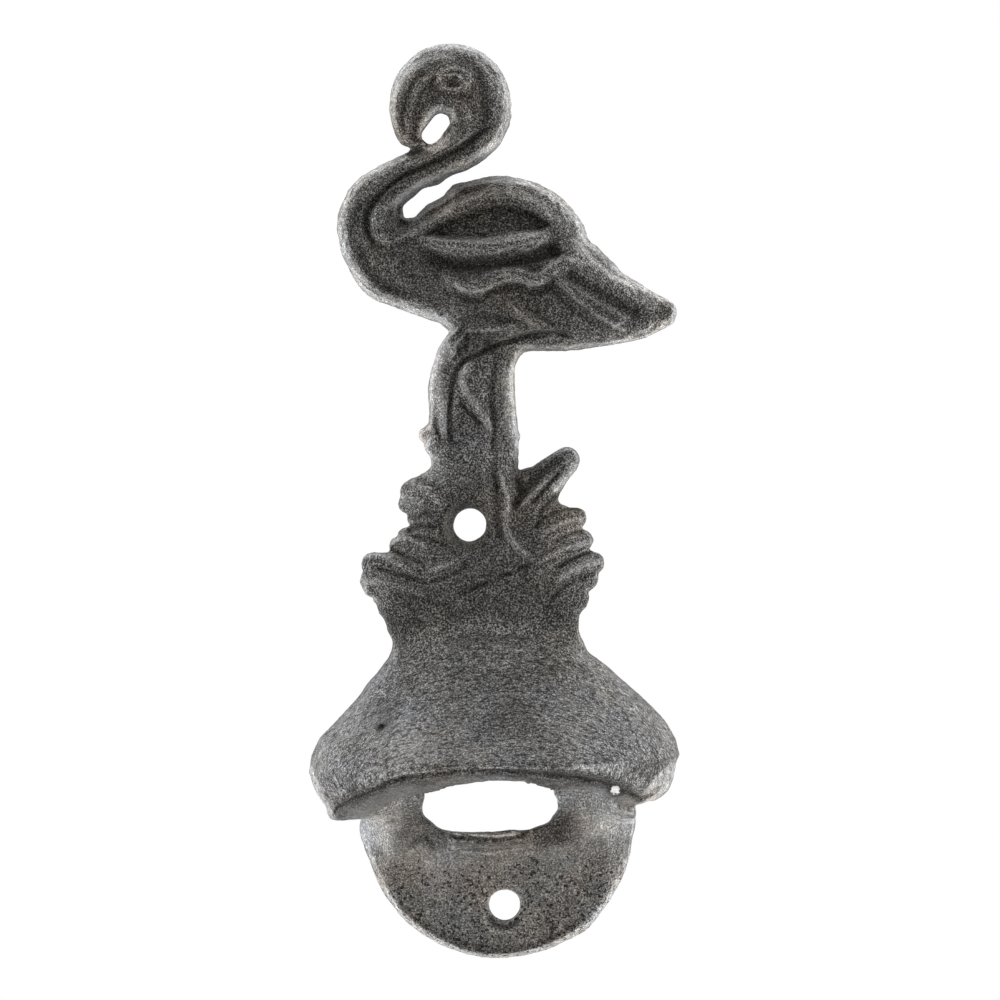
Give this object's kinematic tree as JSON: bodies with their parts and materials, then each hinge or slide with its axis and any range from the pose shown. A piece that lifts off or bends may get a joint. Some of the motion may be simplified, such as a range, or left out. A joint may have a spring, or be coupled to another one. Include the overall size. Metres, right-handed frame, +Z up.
{
  "type": "wall mounted bottle opener",
  "caption": "Cast iron wall bottle opener: a wading bird on grass above a flared hood that presses a crown cap over a tooth below a slot, with countersunk screw holes.",
  "frame": {"origin": "on the axis of the upper screw hole, in the wall plane", "axes": "+Z up the casting, +Y into the wall, so the front faces -Y, +X to the right as seen from the front"},
  "size_m": [0.0703, 0.027, 0.1736],
  "materials": {
    "iron": "bare sand casting, dark graphite with a dull sheen and paler rubbed edges"
  },
  "bodies": {
    "root": {"head": "iron", "neck": "iron", "bird_body": "iron", "wing": "iron", "legs": "iron", "left_tuft": "iron", "right_tuft": "iron", "tall_leaf": "iron", "ground_plate": "iron", "cap_hood": "iron", "left_cheek": "iron", "right_cheek": "iron", "left_post": "iron", "right_post": "iron", "cap_tooth": "iron", "screw_plate": "iron"}
  },
  "joints": []
}
